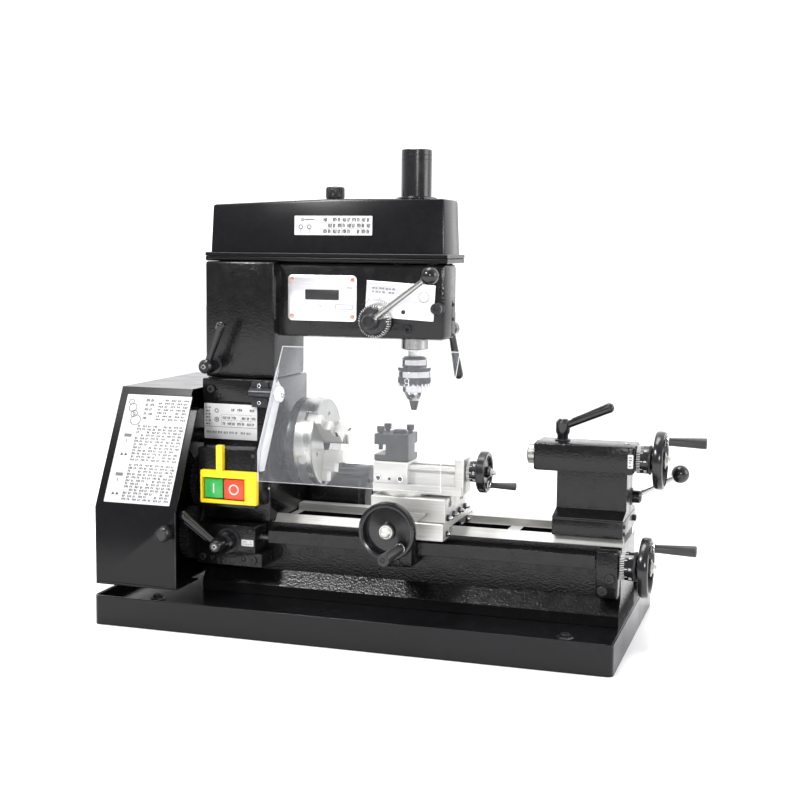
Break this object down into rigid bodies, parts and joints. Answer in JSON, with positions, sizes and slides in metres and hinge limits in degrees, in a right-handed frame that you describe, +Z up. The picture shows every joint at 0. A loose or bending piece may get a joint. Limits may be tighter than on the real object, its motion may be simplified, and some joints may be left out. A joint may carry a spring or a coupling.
{
  "type": "combination bench lathe and drill",
  "caption": "Small bench lathe with a drill head on a column, a compound slide, tailstock, clear chuck guard and belt and gear covers, standing in a chip tray.",
  "frame": {"origin": "centre of the overall bounding box in plan, on the bench surface under the chip tray", "axes": "+X along the bed from the headstock to the tailstock, +Y to the back of the machine, +Z up"},
  "size_m": [0.6452, 0.3122, 0.521],
  "materials": {
    "cast_black": "glossy black wrinkle paint on castings",
    "sheet_black": "satin black paint on sheet metal",
    "ground_steel": "ground and turned steel",
    "chromed_steel": "bright plated steel",
    "blackened_steel": "oil-blackened steel",
    "black_plastic": "smooth black plastic",
    "yellow_plastic": "yellow moulded plastic",
    "green_plastic": "green push button",
    "red_plastic": "red push button",
    "clear_acrylic": "clear acrylic sheet",
    "belt_rubber": "rubber drive belt"
  },
  "bodies": {
    "base": {"chip_tray": "sheet_black", "bed": "cast_black", "leadscrew_guard": "cast_black", "end_bracket": "cast_black", "headstock": "cast_black", "mill_head": "cast_black", "motor": "cast_black", "drive_belt": "belt_rubber", "motor_belt": "belt_rubber", "gear_banjo": "blackened_steel", "feed_gearbox": "cast_black", "switch_box": "cast_black", "switch_frame": "yellow_plastic", "guard_bracket": "blackened_steel"},
    "lathe_spindle": {"spindle": "ground_steel", "chuck_backplate": "blackened_steel", "chuck_body": "ground_steel"},
    "jaw_1": {"chuck_jaw_1": "ground_steel"},
    "jaw_2": {"chuck_jaw_2": "ground_steel"},
    "jaw_3": {"chuck_jaw_3": "ground_steel"},
    "idler": {"idler_gear": "blackened_steel"},
    "feed_gear": {"leadscrew_gear": "blackened_steel"},
    "feed_screw": {"leadscrew": "ground_steel", "leadscrew_handwheel": "black_plastic"},
    "feed_grip": {"leadscrew_handle": "black_plastic"},
    "vertical_shaft": {"head_shaft": "ground_steel"},
    "motor_rotor": {"motor_pulley": "ground_steel"},
    "head_pulley": {"spindle_pulley": "ground_steel"},
    "carriage": {"saddle": "ground_steel", "leadscrew_nut": "cast_black"},
    "cross": {"cross_slide": "ground_steel"},
    "cross_feed": {"cross_handwheel": "black_plastic"},
    "cross_grip": {"cross_handle": "black_plastic"},
    "swivel": {"compound_base": "ground_steel"},
    "top": {"top_slide": "ground_steel"},
    "top_feed": {"top_handwheel": "black_plastic"},
    "top_grip": {"top_handle": "black_plastic"},
    "post": {"tool_post": "ground_steel"},
    "tailstock": {"tailstock_base": "cast_black", "tailstock_body": "cast_black"},
    "tail_quill": {"tailstock_quill": "ground_steel"},
    "tail_feed": {"tailstock_handwheel": "black_plastic"},
    "tail_grip": {"tailstock_handle": "black_plastic"},
    "quill_clamp": {"quill_clamp_lever": "black_plastic"},
    "tail_lock": {"tailstock_lock_lever": "black_plastic"},
    "quill": {"mill_quill": "blackened_steel"},
    "drill": {"drill_spindle": "ground_steel", "drill_chuck": "chromed_steel"},
    "quill_feed": {"quill_feed_lever": "blackened_steel"},
    "top_cover": {"belt_cover": "sheet_black", "spindle_cover_tube": "black_plastic"},
    "cover_nut": {"belt_cover_knob": "black_plastic"},
    "side_cover": {"gear_cover": "sheet_black"},
    "side_nut": {"gear_cover_knob": "black_plastic"},
    "column_clamp": {"column_lever": "black_plastic"},
    "feed_clutch": {"feed_lever": "black_plastic"},
    "head_clamp": {"head_clamp_lever": "black_plastic"},
    "guard": {"chuck_guard": "clear_acrylic"},
    "start": {"start_button": "green_plastic"},
    "stop": {"stop_button": "red_plastic"}
  },
  "joints": [
    {"name": "spindle_turn", "type": "hinge", "parent": "base", "child": "lathe_spindle", "pos_m": [-0.12465, 0.02115, 0.192], "axis": [1, 0, 0], "continuous": true},
    {"name": "jaw_1_slide", "type": "slide", "parent": "lathe_spindle", "child": "jaw_1", "axis": [0, -0.7314, 0.682], "range_m": [-0.005, 0.008]},
    {"name": "jaw_2_slide", "type": "slide", "parent": "lathe_spindle", "child": "jaw_2", "axis": [0, -0.225, -0.9744], "range_m": [-0.005, 0.008]},
    {"name": "jaw_3_slide", "type": "slide", "parent": "lathe_spindle", "child": "jaw_3", "axis": [0, 0.9563, 0.2924], "range_m": [-0.005, 0.008]},
    {"name": "idler_turn", "type": "hinge", "parent": "base", "child": "idler", "pos_m": [-0.24365, -0.004, 0.1444], "axis": [1, 0, 0], "continuous": true},
    {"name": "feed_gear_turn", "type": "hinge", "parent": "base", "child": "feed_gear", "pos_m": [-0.24365, -0.03385, 0.088], "axis": [1, 0, 0], "continuous": true},
    {"name": "vertical_shaft_turn", "type": "hinge", "parent": "base", "child": "vertical_shaft", "pos_m": [-0.19165, 0.02115, 0.25], "axis": [0, 0, 1], "continuous": true},
    {"name": "motor_turn", "type": "hinge", "parent": "base", "child": "motor_rotor", "pos_m": [-0.26965, 0.11415, 0.117], "axis": [1, 0, 0], "continuous": true},
    {"name": "head_pulley_turn", "type": "hinge", "parent": "base", "child": "head_pulley", "pos_m": [0.00035, 0.02115, 0.42], "axis": [0, 0, 1], "continuous": true},
    {"name": "leadscrew_turn", "type": "hinge", "parent": "base", "child": "feed_screw", "pos_m": [0.26235, -0.03385, 0.088], "axis": [1, 0, 0], "range_deg": [-7200, 8640]},
    {"name": "leadscrew_grip_spin", "type": "hinge", "parent": "feed_screw", "child": "feed_grip", "pos_m": [0.27565, -0.03385, 0.1085], "axis": [1, 0, 0], "continuous": true},
    {"name": "carriage_slide", "type": "slide", "parent": "base", "child": "carriage", "axis": [-1, 0, 0], "range_m": [-0.03, 0.036]},
    {"name": "cross_screw_turn", "type": "hinge", "parent": "carriage", "child": "cross_feed", "pos_m": [0.00735, -0.05185, 0.1185], "axis": [0, 1, 0], "range_deg": [-7200, 7920]},
    {"name": "cross_grip_spin", "type": "hinge", "parent": "cross_feed", "child": "cross_grip", "pos_m": [0.02335, -0.09815, 0.1025], "axis": [0, 1, 0], "continuous": true},
    {"name": "cross_slide_travel", "type": "slide", "parent": "carriage", "child": "cross", "axis": [0, -1, 0], "range_m": [-0.02, 0.022]},
    {"name": "compound_swivel", "type": "hinge", "parent": "cross", "child": "swivel", "pos_m": [0.00535, -0.02085, 0.15], "axis": [0, 0, 1], "range_deg": [-30, 30]},
    {"name": "top_screw_turn", "type": "hinge", "parent": "swivel", "child": "top_feed", "pos_m": [0.07435, -0.02085, 0.1755], "axis": [1, 0, 0], "range_deg": [-14400, 3600]},
    {"name": "top_grip_spin", "type": "hinge", "parent": "top_feed", "child": "top_grip", "pos_m": [0.09815, -0.02085, 0.1615], "axis": [1, 0, 0], "continuous": true},
    {"name": "top_slide_travel", "type": "slide", "parent": "swivel", "child": "top", "axis": [-1, 0, 0], "range_m": [-0.04, 0.01]},
    {"name": "tool_post_turn", "type": "hinge", "parent": "top", "child": "post", "pos_m": [-0.00715, -0.02085, 0.1838], "axis": [0, 0, 1], "range_deg": [-180, 180]},
    {"name": "tailstock_slide", "type": "slide", "parent": "base", "child": "tailstock", "axis": [1, 0, 0], "range_m": [-0.02, 0]},
    {"name": "tail_wheel_turn", "type": "hinge", "parent": "tailstock", "child": "tail_feed", "pos_m": [0.25035, 0.02115, 0.192], "axis": [1, 0, 0], "range_deg": [0, 7200]},
    {"name": "tail_grip_spin", "type": "hinge", "parent": "tail_feed", "child": "tail_grip", "pos_m": [0.28065, 0.02115, 0.2125], "axis": [1, 0, 0], "continuous": true},
    {"name": "tail_quill_travel", "type": "slide", "parent": "tailstock", "child": "tail_quill", "axis": [-1, 0, 0], "range_m": [0, 0.03]},
    {"name": "quill_clamp_turn", "type": "hinge", "parent": "tailstock", "child": "quill_clamp", "pos_m": [0.16935, 0.02115, 0.208], "axis": [0, 0, 1], "range_deg": [-60, 60]},
    {"name": "tailstock_lock_turn", "type": "hinge", "parent": "tailstock", "child": "tail_lock", "pos_m": [0.24375, 0.03515, 0.149], "axis": [1, 0, 0], "range_deg": [-60, 0]},
    {"name": "quill_travel", "type": "slide", "parent": "base", "child": "quill", "axis": [0, 0, -1], "range_m": [0, 0.025]},
    {"name": "drill_turn", "type": "hinge", "parent": "quill", "child": "drill", "pos_m": [0.00035, 0.02115, 0.302], "axis": [0, 0, 1], "continuous": true},
    {"name": "quill_feed_turn", "type": "hinge", "parent": "base", "child": "quill_feed", "pos_m": [-0.03465, -0.00785, 0.334], "axis": [0, 1, 0], "range_deg": [0, 73]},
    {"name": "belt_cover_lift", "type": "slide", "parent": "base", "child": "top_cover", "axis": [0, 0, 1], "range_m": [0, 0.12]},
    {"name": "belt_cover_knob_turn", "type": "hinge", "parent": "top_cover", "child": "cover_nut", "pos_m": [-0.09465, 0.02115, 0.4673], "axis": [0, 0, 1], "continuous": true},
    {"name": "gear_cover_slide", "type": "slide", "parent": "base", "child": "side_cover", "axis": [-1, 0, 0], "range_m": [0, 0.11]},
    {"name": "gear_cover_knob_turn", "type": "hinge", "parent": "side_cover", "child": "side_nut", "pos_m": [-0.23465, -0.12015, 0.105], "axis": [0, 1, 0], "continuous": true},
    {"name": "column_lever_turn", "type": "hinge", "parent": "base", "child": "column_clamp", "pos_m": [-0.22265, -0.02485, 0.28], "axis": [0, 1, 0], "range_deg": [-20, 60]},
    {"name": "feed_lever_turn", "type": "hinge", "parent": "base", "child": "feed_clutch", "pos_m": [-0.19065, -0.05985, 0.087], "axis": [0, 1, 0], "range_deg": [0, 60]},
    {"name": "head_clamp_turn", "type": "hinge", "parent": "base", "child": "head_clamp", "pos_m": [0.03335, 0.04015, 0.324], "axis": [0, 1, 0], "range_deg": [-50, 50]},
    {"name": "guard_tilt", "type": "hinge", "parent": "base", "child": "guard", "pos_m": [-0.14015, -0.04235, 0.252], "axis": [-1, 0, 0], "range_deg": [0, 25]},
    {"name": "start_press", "type": "slide", "parent": "base", "child": "start", "axis": [0, 1, 0], "range_m": [0, 0.002], "stiffness_N_per_m": 300},
    {"name": "stop_press", "type": "slide", "parent": "base", "child": "stop", "axis": [0, 1, 0], "range_m": [0, 0.002], "stiffness_N_per_m": 300}
  ],
  "couplings": [
    {"joint": "jaw_2_slide", "follows": "jaw_1_slide", "ratio": 1},
    {"joint": "jaw_3_slide", "follows": "jaw_1_slide", "ratio": 1},
    {"joint": "motor_turn", "follows": "spindle_turn", "ratio": 2.1765},
    {"joint": "idler_turn", "follows": "spindle_turn", "ratio": -0.625},
    {"joint": "feed_gear_turn", "follows": "spindle_turn", "ratio": 0.71429},
    {"joint": "vertical_shaft_turn", "follows": "spindle_turn", "ratio": -1},
    {"joint": "head_pulley_turn", "follows": "spindle_turn", "ratio": -1},
    {"joint": "drill_turn", "follows": "spindle_turn", "ratio": -1},
    {"joint": "leadscrew_turn", "follows": "carriage_slide", "rad_per_m": 4188.8},
    {"joint": "cross_screw_turn", "follows": "cross_slide_travel", "rad_per_m": 6283.2},
    {"joint": "top_screw_turn", "follows": "top_slide_travel", "rad_per_m": 6283.2},
    {"joint": "tail_wheel_turn", "follows": "tail_quill_travel", "rad_per_m": 4188.8},
    {"joint": "quill_travel", "follows": "quill_feed_turn", "m_per_rad": 0.0196}
  ]
}
